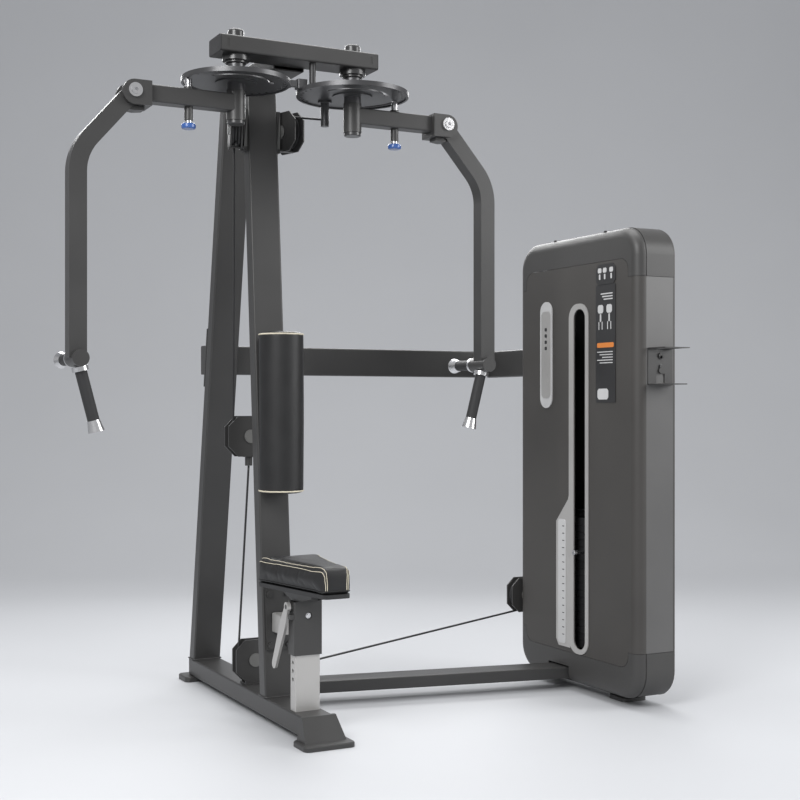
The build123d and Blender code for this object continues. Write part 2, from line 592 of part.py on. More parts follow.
def main_cable():
    first, slope = main_angles()
    part = bend((LOW_X, LOW_Y, LOW_Z), (1, 0, 0), (0, 0, 1), first, 270 + slope)
    t = math.radians(270 + slope)
    dx, dz = PITCH_R * math.cos(t), PITCH_R * math.sin(t)
    a, b = (LOW_X + dx, LOW_Y, LOW_Z + dz), (TLOW_X + dx, TLOW_Y, TLOW_Z + dz)
    part += rod(a, b, CABLE_R) + Pos(*a) * Sphere(CABLE_R) + Pos(*b) * Sphere(CABLE_R)
    part += bend((TLOW_X, TLOW_Y, TLOW_Z), (1, 0, 0), (0, 0, 1), -90 + slope, 0)
    part += rod((TLOW_X + PITCH_R, TLOW_Y, TLOW_Z), (TOW_X, TREAR_Y + PITCH_R, TTOP_Z), CABLE_R)
    part += bend((TOW_X, TREAR_Y, TTOP_Z), (0, 1, 0), (0, 0, 1), 0, 90)
    part += rod((TOW_X, TREAR_Y, TTOP_Z + PITCH_R), (TOW_X, TFRONT_Y, TTOP_Z + PITCH_R), CABLE_R)
    return part + bend((TOW_X, TFRONT_Y, TTOP_Z), (0, -1, 0), (0, 0, 1), 90, 0)


def stack_cable():
    return rod((TOW_X, STACK_Y, TTOP_Z - 0.1), (TOW_X, STACK_Y, STACK_TOP + 62), CABLE_R)


# ---- weight tower -------------------------------------------------------------------------

def tower_outline(inset, x0, x1, z0=TOW_Z0):
    r = TOW_R - inset
    slab = block(x0, x1, TOW_Y0 + inset, TOW_Y1 - inset, z0 + inset, TOW_Z1 - inset)
    return round_along(slab, (1, 0, 0), r)


def side_shell(depth, edge):
    x0 = BAND_X0 - depth
    outer = tower_outline(0, x0, BAND_X0 - 0.3)
    outer = fillet(outer.faces().sort_by(Axis.X)[0].edges(), edge)
    inner = tower_outline(SKIN, x0 + SKIN, BAND_X0)
    inner = fillet(inner.faces().sort_by(Axis.X)[0].edges(), edge - 3)
    shell = outer - inner
    y = xbeam_y(1080)
    return shell - block(x0 - 1, BAND_X0, y - 62, y + 62, 0, 84)


def inset_panel(grow):
    zone = block(1000, 1100, TOW_Y0 + 48 - grow, TOW_Y1 - 48 + grow, 134 - grow, 1462 + grow)
    return round_along(zone, (1, 0, 0), 40)


def selector_slot(grow):
    w = SLOT_W / 2 + grow
    slot = block(1040, 1090, SLOT_Y - w, SLOT_Y + w, SLOT_Z0 - grow, SLOT_Z1 + grow)
    return round_along(slot, (1, 0, 0), w - 1)


def cap_zone(gap):
    top = block(1000, 1300, -300, 500, CAP_Z_TOP + gap, 1600)
    return top + block(1000, 1300, -300, 500, 0, CAP_Z_LOW - gap)


def user_side_cover():
    rim = cap_zone(-0.5) - inset_panel(-0.5)
    return side_shell(COVER_D, 32) - rim - selector_slot(0)


def tower_caps():
    user = (side_shell(COVER_D, 32) & cap_zone(0.5)) - inset_panel(0.5)
    ends = tower_outline(-2, BAND_X0 + 0.3, BAND_X1 - 0.3) - tower_outline(5, BAND_X0 - 1, BAND_X1 + 1)
    ends = (ends & cap_zone(0.5)) - base_gap() - crossbeam_gap()
    return user + ends


def outer_cover():
    return Pos(2 * TOW_X, 0, 0) * mirror(side_shell(OUTER_D, 8), about=Plane.YZ)


def base_gap():
    return block(BAND_X0 - 1, BAND_X1 + 1, -150, 408, 0, 100) + block(BAND_X0 - 1, BAND_X1 + 1, -300, 500, 0, 40)


def crossbeam_gap():
    return block(TOW_X - 32, TOW_X + 32, 330, 500, 1312, 1500)


def band_ring():
    ring = tower_outline(0, BAND_X0, BAND_X1) - tower_outline(5, BAND_X0 - 1, BAND_X1 + 1)
    return ring & block(BAND_X0, BAND_X1, -300, 500, CAP_Z_LOW + 0.5, CAP_Z_TOP - 0.5)


def front_band():
    return band_ring() & block(BAND_X0, BAND_X1, -300, 95, 0, 1600)


def rear_band():
    return (band_ring() & block(BAND_X0, BAND_X1, 95.5, 500, 0, 1600)) - crossbeam_gap()


def slot_trim():
    x = BAND_X0 - COVER_D
    wide = block(x - 3, x, SLOT_Y - 52, SLOT_Y + 62, 136, 1331)
    wide = round_along(wide, (1, 0, 0), 50)
    low = prism_x([(120, 150), (120, 700), (134, 660), (206, 581), (206, 172), (190, 150)], x - 3, x)
    return (wide + low) - selector_slot(0.5)


def label_insert():
    x = BAND_X0 - COVER_D - 3
    return round_along(block(x - 1.5, x, 146, 192, 160, 590), (1, 0, 0), 12)


def badge():
    x = BAND_X0 - COVER_D
    return round_along(block(x - 4, x, 232, 306, 975, 1350), (1, 0, 0), 36.5)


def placard():
    x = BAND_X0 - COVER_D
    return round_along(block(x - 2, x, -136, -28, 994, 1385), (1, 0, 0), 6)


def bottle_holder():
    x0, x1, y = 1096, 1194, TOW_Y0
    back = block(x0, x1, y - 3, y, 1051, 1170)
    top = block(x0, x1, y - 90, y, 1167, 1170) - rod((TOW_X, y - 46, 1160), (TOW_X, y - 46, 1180), 36)
    low = prism_z([(x0, y), (x1, y), (x1, y - 70), (x1 - 22, y - 104), (x0 + 22, y - 104), (x0, y - 70)], 1051, 1054)
    part = back + top + low
    part -= block(TOW_X - 17, TOW_X + 17, y - 5, y + 1, 1054, 1086)
    for z in (1097, 1145):
        part += rod((TOW_X, y - 8, z), (TOW_X, y - 2, z), 9)
    return part


def tower_base():
    tube = round_along(block(1115, 1175, -96, 400, 15, 55), (0, 1, 0), 5)
    return tube - block(1119, 1171, -97, 401, 19, 51)


def tower_feet():
    return foot(1112, 1207, -108, -12, 15) + foot(1112, 1207, 330, 426, 15)


def tower_uprights():
    parts = None
    for y in (-96, 290):
        post = block(1120, 1170, y, y + 40, 55, 1355) - block(1123, 1167, y + 3, y + 37, 55, 1355)
        parts = post if parts is None else parts + post
    parts += block(1120, 1170, -56, 290, 1320, 1353) - rod((TOW_X, STACK_Y, 1300), (TOW_X, STACK_Y, 1360), 9)
    return parts + block(1123, 1167, 330, 440, 1320, 1353)


def guide_rods():
    parts = None
    for dy in (-ROD_DY, ROD_DY):
        stick = rod((TOW_X, STACK_Y + dy, 55), (TOW_X, STACK_Y + dy, 1320), ROD_R)
        parts = stick if parts is None else parts + stick
    return parts


def stack_cushions():
    parts = None
    for dy in (-ROD_DY, ROD_DY):
        y = STACK_Y + dy
        ring = rod((TOW_X, y, 55), (TOW_X, y, 145.7), 24) - rod((TOW_X, y, 50), (TOW_X, y, 150), ROD_R + RUN_FIT)
        parts = ring if parts is None else parts + ring
    return parts


def weight_plate(top):
    x, y, z = TOW_X, STACK_Y, top - PLATE_H + 0.5
    plate = block(x - PLATE_X, x + PLATE_X, y - PLATE_Y, y + PLATE_Y, z, top)
    plate = chamfer(plate.edges().filter_by(Axis.Y), 2)
    for dy in (-ROD_DY, ROD_DY):
        plate -= rod((x, y + dy, z - 1), (x, y + dy, top + 1), ROD_R + 1)
    plate -= rod((x, y, z - 1), (x, y, top + 1), 9.4)
    return plate - rod((x - PLATE_X - 1, y, (z + top) / 2), (x, y, (z + top) / 2), 5)


def plate_group(first, last):
    parts = None
    for i in range(first, last):
        plate = weight_plate(STACK_TOP - PLATE_H * i)
        parts = plate if parts is None else parts + plate
    return parts


def lifted_plates():
    return plate_group(0, PICKED)


def resting_plates():
    return plate_group(PICKED, PLATES)


def pin_height():
    return STACK_TOP - PLATE_H * (PICKED - 0.5) + 0.25


def stack_head():
    x, y, z = TOW_X, STACK_Y, STACK_TOP + 0.3
    head = block(x - 48, x + 48, y - 100, y + 100, z, z + 28)
    for dy in (-ROD_DY, ROD_DY):
        head -= rod((x, y + dy, z - 1), (x, y + dy, z + 30), ROD_R + 0.5)
    head += rod((x, y, z + 28), (x, y, STACK_TOP + 61.7), 12)
    stem = rod((x, y, STACK_TOP - PLATE_H * PLATES + 6), (x, y, z), 9)
    for i in range(PLATES):
        h = pin_height() + PLATE_H * (PICKED - 1 - i)
        stem -= rod((x - 12, y, h), (x + 12, y, h), 5)
    return head + stem


def selector_pin():
    h = pin_height()
    pin = rod((1044, STACK_Y, h), (TOW_X + 6, STACK_Y, h), 4.4)
    knob = rod((1026, STACK_Y, h), (1044, STACK_Y, h), 9)
    return pin + fillet(knob.edges().filter_by(GeomType.CIRCLE), 3)


def together(*makers):
    def make():
        total = makers[0]()
        for other in makers[1:]:
            total += other()
        return total
    return make


def both(make):
    return lambda: both_sides(make())


def mirrored(make):
    return lambda: mirror(make(), about=Plane.YZ)


NODES = {
    "base_rail": together(base_rail, front_end_plate),
    "foot_pads": together(front_foot_pad, rear_foot_pad, tower_feet),
    "front_leg": front_leg, "rear_leg": rear_leg,
    "top_bar": top_bar, "top_beam": top_beam,
    "bar_fittings": together(bar_end_caps, stop_rod),
    "pivot_shafts": together(pivot_shafts, dome_caps), "flange_bearings": flange_bearings,
    "base_crossbeam": together(base_crossbeam, crossbeam_flange),
    "upper_crossbeam": together(upper_crossbeam, crossbeam_plates),
    "left_cam": left_cam, "right_cam": right_cam,
    "seat_post": seat_post,
    "seat_sleeve": together(seat_sleeve, lever_boss),
    "seat_lever": seat_lever, "seat_board": seat_board, "seat_pad": seat_pad,
    "seat_brace": together(seat_brace, brace_bar),
    "back_pad": back_pad, "pad_mount": pad_mount,
    "block_frame": block_frame, "block_sheave": block_sheave, "block_loop": block_loop,
    "block_spans": lambda: block_span(-1) + block_span(1),
    "low_sheave": low_sheave, "tower_low_sheave": tower_low_sheave,
    "sheave_brackets": together(low_cheeks, tower_low_cheeks, tower_cheeks, both(top_sheave_cheeks)),
    "main_cable_rise": main_cable_rise, "main_cable": main_cable,
    "stack_cable": stack_cable, "cam_cables": both(cam_cable),
    "tower_top_sheaves": together(tower_front_sheave, tower_rear_sheave),
    "user_side_cover": user_side_cover, "tower_caps": tower_caps,
    "outer_cover": outer_cover, "front_band": front_band, "rear_band": rear_band,
    "slot_trim": slot_trim, "side_labels": together(label_insert, badge, placard),
    "bottle_holder": bottle_holder,
    "tower_frame": together(tower_base, tower_uprights),
    "guide_rods": guide_rods, "stack_cushions": stack_cushions,
    "lifted_plates": lifted_plates, "resting_plates": resting_plates,
    "stack_head": stack_head, "selector_pin": selector_pin,
}
PAIRED = {
    "swing_arm": together(swing_arm, arm_stop), "arm_bolt": arm_bolt,
    "pull_pin": together(pull_pin_stem, pull_pin_knob), "drop_arm": drop_arm,
    "grip_fittings": together(grip_collars, grip_sleeves), "top_sheave": top_sheave,
}
for label, make in PAIRED.items():
    NODES["right_" + label] = make
    NODES["left_" + label] = mirrored(make)

os.makedirs("parts", exist_ok=True)
for label, make in NODES.items():
    solid = Pos(-ORIGIN_X, -ORIGIN_Y, 0) * make()
    export_step(solid, f"parts/{label}.step")
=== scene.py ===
import json
import math
import random

import bmesh
import bpy
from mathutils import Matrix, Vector
from mathutils.bvhtree import BVHTree


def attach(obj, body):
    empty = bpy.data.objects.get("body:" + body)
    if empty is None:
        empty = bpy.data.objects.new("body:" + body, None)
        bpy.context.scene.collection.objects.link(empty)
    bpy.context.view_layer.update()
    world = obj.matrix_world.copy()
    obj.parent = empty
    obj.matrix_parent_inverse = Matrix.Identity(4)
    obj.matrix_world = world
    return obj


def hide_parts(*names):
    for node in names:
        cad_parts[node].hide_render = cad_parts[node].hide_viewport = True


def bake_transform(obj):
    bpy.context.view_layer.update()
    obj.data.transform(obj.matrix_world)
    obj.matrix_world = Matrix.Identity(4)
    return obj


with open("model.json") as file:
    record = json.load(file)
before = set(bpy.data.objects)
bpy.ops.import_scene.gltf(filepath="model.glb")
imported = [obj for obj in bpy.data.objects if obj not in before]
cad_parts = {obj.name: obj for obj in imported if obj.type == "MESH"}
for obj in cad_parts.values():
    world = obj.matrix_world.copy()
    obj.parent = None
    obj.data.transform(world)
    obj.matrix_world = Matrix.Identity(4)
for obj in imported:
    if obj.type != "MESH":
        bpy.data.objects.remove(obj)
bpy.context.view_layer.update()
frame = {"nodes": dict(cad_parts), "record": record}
NODES = frame["nodes"]
random.seed(4)
MM = 0.001
COLUMN = Vector((-0.260, -0.303, 0.0))


def at(x, y, z):
    """Millimetres from the column's middle to metres in the row frame."""
    return Vector((x * MM, y * MM, z * MM)) + COLUMN


# ---- materials ----------------------------------------------------------------------------

def surface(name, colour, rough, metal=0.0, grain=900.0, bump=0.05, vary=0.12, cloud=5.0, coat=0.0,
            rough_vary=0.08, sheen=0.0, stretch=(1, 1, 1), cells=False):
    mat = bpy.data.materials.new(name)
    mat.use_nodes = True
    nodes, links = mat.node_tree.nodes, mat.node_tree.links
    shader = nodes["Principled BSDF"]
    shader.inputs["Metallic"].default_value = metal
    shader.inputs["Coat Weight"].default_value = coat
    shader.inputs["Coat Roughness"].default_value = 0.25
    shader.inputs["Sheen Weight"].default_value = sheen
    place = nodes.new("ShaderNodeTexCoord")
    scale = nodes.new("ShaderNodeMapping")
    scale.inputs["Scale"].default_value = stretch
    links.new(place.outputs["Object"], scale.inputs["Vector"])
    broad = nodes.new("ShaderNodeTexNoise")
    broad.inputs["Scale"].default_value = cloud
    broad.inputs["Detail"].default_value = 6
    links.new(scale.outputs["Vector"], broad.inputs["Vector"])
    ramp = nodes.new("ShaderNodeValToRGB")
    low = tuple(c * (1 - vary) for c in colour)
    high = tuple(min(1, c * (1 + vary)) for c in colour)
    ramp.color_ramp.elements[0].position, ramp.color_ramp.elements[1].position = 0.3, 0.7
    ramp.color_ramp.elements[0].color = (*low, 1)
    ramp.color_ramp.elements[1].color = (*high, 1)
    links.new(broad.outputs["Fac"], ramp.inputs["Fac"])
    links.new(ramp.outputs["Color"], shader.inputs["Base Color"])
    spread = nodes.new("ShaderNodeMapRange")
    spread.inputs["To Min"].default_value = max(0.03, rough - rough_vary)
    spread.inputs["To Max"].default_value = min(1.0, rough + rough_vary)
    links.new(broad.outputs["Fac"], spread.inputs["Value"])
    links.new(spread.outputs["Result"], shader.inputs["Roughness"])
    if cells:
        fine = nodes.new("ShaderNodeTexVoronoi")
        fine.feature = "DISTANCE_TO_EDGE"
        out = fine.outputs["Distance"]
    else:
        fine = nodes.new("ShaderNodeTexNoise")
        fine.inputs["Detail"].default_value = 3
        out = fine.outputs["Fac"]
    fine.inputs["Scale"].default_value = grain
    links.new(scale.outputs["Vector"], fine.inputs["Vector"])
    relief = nodes.new("ShaderNodeBump")
    relief.inputs["Strength"].default_value = bump
    relief.inputs["Distance"].default_value = 0.0006
    links.new(out, relief.inputs["Height"])
    links.new(relief.outputs["Normal"], shader.inputs["Normal"])
    return mat


PAINT = surface("charcoal_powder_coat", (0.037, 0.0365, 0.036), 0.42, grain=1400, bump=0.12, vary=0.10,
                coat=0.10)
PANEL = surface("tower_panel", (0.050, 0.047, 0.044), 0.50, grain=1100, bump=0.20, vary=0.08)
CAP = surface("tower_cap", (0.047, 0.046, 0.045), 0.46, grain=1100, bump=0.20, vary=0.08)
BAND = surface("tower_band", (0.098, 0.097, 0.096), 0.42, grain=1500, bump=0.10, vary=0.06, coat=0.1)
SILVER = surface("satin_silver", (0.46, 0.452, 0.44), 0.34, metal=0.45, grain=1600, bump=0.06, vary=0.06)
ALUMINIUM = surface("turned_aluminium", (0.72, 0.72, 0.73), 0.24, metal=1.0, grain=900, bump=0.08, vary=0.05)
STEEL = surface("ground_steel", (0.48, 0.48, 0.49), 0.26, metal=1.0, grain=700, bump=0.05, vary=0.08,
                stretch=(1, 1, 0.1))
SHAFT = surface("gloss_black_steel", (0.030, 0.030, 0.031), 0.30, grain=500, bump=0.04, coat=0.25)
DISC = surface("disc_grey", (0.085, 0.085, 0.088), 0.34, metal=0.65, grain=900, bump=0.06, vary=0.12)
PLASTIC = surface("black_plastic", (0.020, 0.020, 0.021), 0.42, grain=1300, bump=0.15)
HUB = surface("hub_grey", (0.17, 0.17, 0.165), 0.38, metal=0.3, grain=900, bump=0.08)
BLUE = surface("blue_knob", (0.035, 0.10, 0.32), 0.22, grain=400, bump=0.02, vary=0.08, coat=0.5)
LEATHER = surface("black_leather", (0.0085, 0.0085, 0.009), 0.46, grain=520, bump=0.40, vary=0.18, cloud=18,
                  rough_vary=0.07, cells=True)
THREAD = surface("cream_thread", (0.62, 0.57, 0.45), 0.75, grain=2500, bump=0.5, vary=0.12, cloud=60)
RUBBER = surface("rubber", (0.016, 0.016, 0.016), 0.72, grain=900, bump=0.25)
GRIP = surface("grip_rubber", (0.018, 0.018, 0.019), 0.62, grain=620, bump=0.6, cells=True)
WIRE = surface("coated_cable", (0.02, 0.02, 0.021), 0.35, grain=1500, bump=0.2)
IRON = surface("painted_iron", (0.024, 0.024, 0.025), 0.52, grain=500, bump=0.3, vary=0.15)
LABEL = surface("label_black", (0.022, 0.022, 0.023), 0.30, grain=900, bump=0.02, coat=0.2)
PALE = surface("label_pale", (0.52, 0.52, 0.52), 0.35, grain=900, bump=0.02, vary=0.05)
ORANGE = surface("label_orange", (0.62, 0.20, 0.04), 0.35, grain=900, bump=0.02, vary=0.05)

BY_SLOT = {
    "frame_paint": PAINT, "panel_grey": PANEL, "cap_grey": CAP, "band_grey": BAND, "silver": SILVER,
    "aluminium": ALUMINIUM, "steel": STEEL, "shaft": SHAFT, "disc": DISC, "plastic_black": PLASTIC,
    "knob_blue": BLUE, "leather": LEATHER, "rubber": RUBBER, "cable_black": WIRE, "plate_black": IRON,
    "label": LABEL,
}
slot_of = {s["node"]: s["material_slot"] for s in frame["record"]["subparts"]}


def dress(node, *mats, rule=None):
    """Give a carried-over node its materials; rule picks one by a face's centre."""
    obj = NODES[node]
    obj.data.materials.clear()
    for mat in mats:
        obj.data.materials.append(mat)
    for face in obj.data.polygons:
        face.material_index = rule(face.center) if rule else 0
        face.use_smooth = True


for name in NODES:
    dress(name, BY_SLOT[slot_of[name]])


def sharp_shading(obj, angle=32):
    cut = math.cos(math.radians(angle))
    mesh = bmesh.new()
    mesh.from_mesh(obj.data)
    for edge in mesh.edges:
        if len(edge.link_faces) == 2:
            a, b = edge.link_faces
            edge.smooth = a.normal.dot(b.normal) > cut
        else:
            edge.smooth = False
    mesh.to_mesh(obj.data)
    mesh.free()


for obj in NODES.values():
    sharp_shading(obj)


# ---- mesh helpers -------------------------------------------------------------------------

def finish_piece(obj, body, mat, smooth=True):
    obj.data.materials.clear()
    obj.data.materials.append(mat)
    if smooth:
        for face in obj.data.polygons:
            face.use_smooth = True
    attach(obj, body)
    return obj


def new_object(name, verts, faces):
    mesh = bpy.data.meshes.new(name)
    mesh.from_pydata([tuple(v) for v in verts], [], faces)
    mesh.update()
    obj = bpy.data.objects.new(name, mesh)
    bpy.context.scene.collection.objects.link(obj)
    return obj


def tube(name, lines, radius, body, mat, sides=10):
    """Round tubes along one or more polylines, joined in one mesh."""
    mesh = bmesh.new()
    for points in lines:
        rings, across = [], None
        closed = (points[0] - points[-1]).length < 1e-7
        pts = points[:-1] if closed else points
        n = len(pts)
        for i, p in enumerate(pts):
            a = pts[(i - 1) % n] if closed or i else p
            b = pts[(i + 1) % n] if closed or i < n - 1 else p
            along = (b - a).normalized()
            if across is None:
                across = along.orthogonal().normalized()
            across = (across - along * across.dot(along)).normalized()
            up = along.cross(across)
            rings.append([mesh.verts.new(p + (across * math.cos(t) + up * math.sin(t)) * radius)
                          for t in (2 * math.pi * k / sides for k in range(sides))])
        count = n if closed else n - 1
        for i in range(count):
            a, b = rings[i], rings[(i + 1) % n]
            for k in range(sides):
                mesh.faces.new((a[k], a[(k + 1) % sides], b[(k + 1) % sides], b[k]))
        if not closed:
            mesh.faces.new(list(reversed(rings[0])))
            mesh.faces.new(rings[-1])
    bmesh.ops.recalc_face_normals(mesh, faces=mesh.faces)
    data = bpy.data.meshes.new(name)
    mesh.to_mesh(data)
    mesh.free()
    obj = bpy.data.objects.new(name, data)
    bpy.context.scene.collection.objects.link(obj)
    return finish_piece(obj, body, mat)


def puff(obj, cap, pressure=4.0, voxel=0.005):
    """Fill a pad out: remesh, inflate as cloth with each point's travel capped, then smooth."""
    bpy.context.view_layer.objects.active = obj
    remesh = obj.modifiers.new("even_mesh", "REMESH")
    remesh.mode = "VOXEL"
    remesh.voxel_size = voxel
    bpy.ops.object.modifier_apply(modifier=remesh.name)
    rest = [v.co.copy() for v in obj.data.vertices]
    cloth = obj.modifiers.new("fill", "CLOTH")
    cloth.settings.use_pressure = True
    cloth.settings.uniform_pressure_force = pressure
    cloth.settings.effector_weights.gravity = 0
    cloth.settings.quality = 5
    cloth.collision_settings.use_collision = False
    cloth.point_cache.frame_start, cloth.point_cache.frame_end = 1, 20
    for step in range(1, 21):
        bpy.context.scene.frame_set(step)
    ready = obj.evaluated_get(bpy.context.evaluated_depsgraph_get())
    moved = [v.co.copy() for v in ready.data.vertices]
    obj.modifiers.remove(cloth)
    bpy.context.scene.frame_set(1)
    for vert, start, end in zip(obj.data.vertices, rest, moved):
        step = end - start
        vert.co = start + step * min(1.0, cap / max(step.length, 1e-9))
    calm = obj.modifiers.new("calm", "SMOOTH")
    calm.iterations = 4
    calm.factor = 0.5
    bpy.ops.object.modifier_apply(modifier=calm.name)
    fine = obj.modifiers.new("fine", "SUBSURF")
    fine.levels = fine.render_levels = 1
    bpy.ops.object.modifier_apply(modifier=fine.name)


def on_surface(obj, points, proud):
    mesh = bmesh.new()
    mesh.from_mesh(obj.data)
    tree = BVHTree.FromBMesh(mesh)
    out = []
    for p in points:
        hit, normal, _, _ = tree.find_nearest(p)
        out.append(hit + normal * proud)
    mesh.free()
    return out


def between(points, step):
    """Evenly spaced points along a polyline."""
    out = []
    for a, b in zip(points, points[1:]):
        count = max(1, round((b - a).length / step))
        out += [a.lerp(b, i / count) for i in range(count)]
    return out + [points[-1]]


# ---- seat pad -----------------------------------------------------------------------------

def rounded_plan(corners, radius, steps=6):
    plan, n = [], len(corners)
    for i in range(n):
        p, q, r = (Vector(corners[(i + k - 1) % n]) for k in range(3))
        u, v = (p - q).normalized(), (r - q).normalized()
        half = math.acos(max(-1, min(1, u.dot(v)))) / 2
        cut = radius / math.tan(half)
        middle = q + (u + v).normalized() * (radius / math.sin(half))
        a, b = q + u * cut - middle, q + v * cut - middle
        for k in range(steps + 1):
            w = a.lerp(b, k / steps)
            plan.append(middle + w.normalized() * radius)
    return plan


def seat_pad():
    corners = [(-106, 110), (106, 110), (43, -259), (-43, -259)]
    plan = rounded_plan(corners, 14)
    centre = Vector((0, -60))
    levels = [(0.965, 449.5), (0.985, 453), (0.99, 463), (0.985, 500), (0.975, 512), (0.95, 519),
              (0.90, 522.5)]
    verts, faces = [], []
    for scale, z in levels:
        for p in plan:
            q = centre + (p - centre) * scale
            verts.append(at(q.x, q.y, z))
    n = len(plan)
    for i in range(len(levels) - 1):
        for k in range(n):
            a, b = i * n + k, i * n + (k + 1) % n
            faces.append((a, b, b + n, a + n))
    faces.append(tuple(reversed(range(n))))
    faces.append(tuple(range((len(levels) - 1) * n, len(levels) * n)))
    pad = new_object("seat_cushion", verts, faces)
    puff(pad, 0.005, pressure=3.0)
    low = at(0, 0, 449.3).z
    for vert in pad.data.vertices:
        vert.co.z = max(vert.co.z, low)
    finish_piece(pad, "seat", LEATHER)
    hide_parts("seat_pad")
    lines = []
    for side in (-1, 1):
        for out, top, low in ((-4, 532, 33), (7, 516, 41)):
            route = between([at(side * (100 + out), 102, top), at(side * (43 + out), -244, top),
                             at(side * (41 + out), -274, top - 14), at(side * low, -274, 456)], 0.004)
            lines.append(on_surface(pad, route, 0.0003))
    tube("seat_stitches", lines, 0.0010, "seat", THREAD, sides=6)
    hem = [at(*(centre + (p - centre) * 1.0), 456) for p in plan]
    hem = on_surface(pad, between(hem + [hem[0]], 0.006), 0.0003)
    tube("seat_hem_welt", [hem], 0.0022, "seat", LEATHER, sides=8)


def back_pad():
    verts, faces, ring = [], [], 48
    levels = [(0.93, 714.5), (0.975, 716), (0.985, 720), (0.985, 1205), (0.975, 1209), (0.93, 1210.5)]
    for scale, z in levels:
        for k in range(ring):
            t = 2 * math.pi * k / ring
            y = min(71 * scale * math.sin(t), 48)
            verts.append(at(71 * scale * math.cos(t), 166 + y, z))
    for i in range(len(levels) - 1):
        for k in range(ring):
            a, b = i * ring + k, i * ring + (k + 1) % ring
            faces.append((a, b, b + ring, a + ring))
    faces.append(tuple(reversed(range(ring))))
    faces.append(tuple(range((len(levels) - 1) * ring, len(levels) * ring)))
    pad = new_object("back_roll", verts, faces)
    puff(pad, 0.003, pressure=2.5)
    flat = at(0, 215, 0).y
    for vert in pad.data.vertices:
        vert.co.y = min(vert.co.y, flat)
    finish_piece(pad, "frame", LEATHER)
    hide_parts("back_pad")
    rings = []
    for z in (1206, 718):
        loop = [at(74 * math.cos(t), 166 + min(74 * math.sin(t), 47), z)
                for t in (2 * math.pi * k / 90 for k in range(91))]
        rings.append(on_surface(pad, loop, 0.0004))
        rings[-1][-1] = rings[-1][0].copy()
    tube("back_roll_piping", rings, 0.0024, "frame", THREAD, sides=8)


seat_pad()
back_pad()


# ---- hardware looks -----------------------------------------------------------------------

def grip_rule(side):
    def pick(c):
        p = (c - COLUMN) / MM
        x = side * p.x
        if 118 < p.y < 205:
            return 1 if math.hypot(x - 661, p.z - 1117) < 17.6 else 0
        tilt = math.radians(14.6)
        d = (661 - x) * math.sin(tilt) + (1117 - p.z) * math.cos(tilt)
        return 1 if 38 < d < 179 and p.y < 70 else 0
    return pick


def brace_rule(c):
    p = (c - COLUMN) / MM
    return 1 if abs(p.x) < 24.5 and p.y < 177 and 279 < p.z < 341 else 0


dress("seat_brace", PAINT, SILVER, rule=brace_rule)
for side, sign in (("left", -1), ("right", 1)):
    dress(side + "_grip_fittings", ALUMINIUM, GRIP, rule=grip_rule(sign))
    dress(side + "_pull_pin", BLUE, STEEL, rule=lambda c: 1 if c.z > 1.8065 else 0)
    dress(side + "_top_sheave", PLASTIC)


def label_rule(c):
    return 0 if (c - COLUMN).y < 0 else 1


dress("side_labels", LABEL, PALE, rule=label_rule)


def hub_rule(c):
    p = (c - COLUMN) / MM
    for x, y, z in ((-14, 410, 884), (0, 404, 156), (1092, 477, 288)):
        if math.hypot(p.x - x, p.z - z) < 23 and 20.2 < abs(p.y - y) < 30:
            return 1
    for x in (-87, 87):
        if math.hypot(p.y - 337, p.z - 1870) < 25 and 17 < abs(p.x - x) < 36:
            return 1
    return 0


dress("sheave_brackets", PAINT, HUB, rule=hub_rule)
dress("block_frame", PAINT, HUB, rule=hub_rule)
for obj in NODES.values():
    sharp_shading(obj)


def bolt_heads(name, spots, normal, radius, height, body, mat=SHAFT):
    """Hexagon bolt heads on washers."""
    mesh = bmesh.new()
    n = Vector(normal).normalized()
    u = n.orthogonal().normalized()
    v = n.cross(u)
    for centre in spots:
        washer, head = (radius * 1.35, 24, 0, height * 0.25), (radius, 6, height * 0.25, height)
        for rad, sides, low, high in (washer, head):
            rings = []
            for h, s in ((low, 1.0), (high - (high - low) * 0.15, 1.0), (high, 0.88)):
                rings.append([mesh.verts.new(centre + n * h + (u * math.cos(t) + v * math.sin(t)) * rad * s)
                              for t in (2 * math.pi * k / sides for k in range(sides))])
            for a, b in zip(rings, rings[1:]):
                for k in range(sides):
                    mesh.faces.new((a[k], a[(k + 1) % sides], b[(k + 1) % sides], b[k]))
            mesh.faces.new(rings[-1])
            mesh.faces.new(list(reversed(rings[0])))
    bmesh.ops.recalc_face_normals(mesh, faces=mesh.faces)
    data = bpy.data.meshes.new(name)
    mesh.to_mesh(data)
    mesh.free()
    obj = bpy.data.objects.new(name, data)
    bpy.context.scene.collection.objects.link(obj)
    return finish_piece(obj, body, mat, smooth=False)


bolt_heads("cover_screws", [at(1079, 250, 1563.5), at(1079, -47, 1563.5)], (0, 0, 1), 0.005, 0.004, "frame")
bolt_heads("sleeve_button", [at(0, -47, 361)], (0, -1, 0), 0.0062, 0.004, "seat", ALUMINIUM)
bolt_heads("holder_screws", [at(1145, -253, z) for z in (1110, 1140)], (0, -1, 0), 0.006, 0.005, "frame")
LEG_LEAN = 0.1704
plate_bolts = [at(x, 913.6 - LEG_LEAN * (z - 78) + 8.2, z) for x in (-34, 34) for z in (1068, 1232)]
bolt_heads("rear_plate_bolts", plate_bolts, (0, 1, 0.17), 0.009, 0.008, "frame")


def weld_beads():
    """Thin ripple welds where the tubes meet."""
    lines = []
    for half, y0, y1, z in ((51, 170, 223, 79), (51, 862, 915, 79)):
        lines.append(between([at(-half, y0, z), at(half, y0, z), at(half, y1, z), at(-half, y1, z),
                              at(-half, y0, z)], 0.012))
    tube("weld_beads", lines, 0.0028, "frame", PAINT, sides=6)


weld_beads()


# ---- tower graphics -----------------------------------------------------------------------

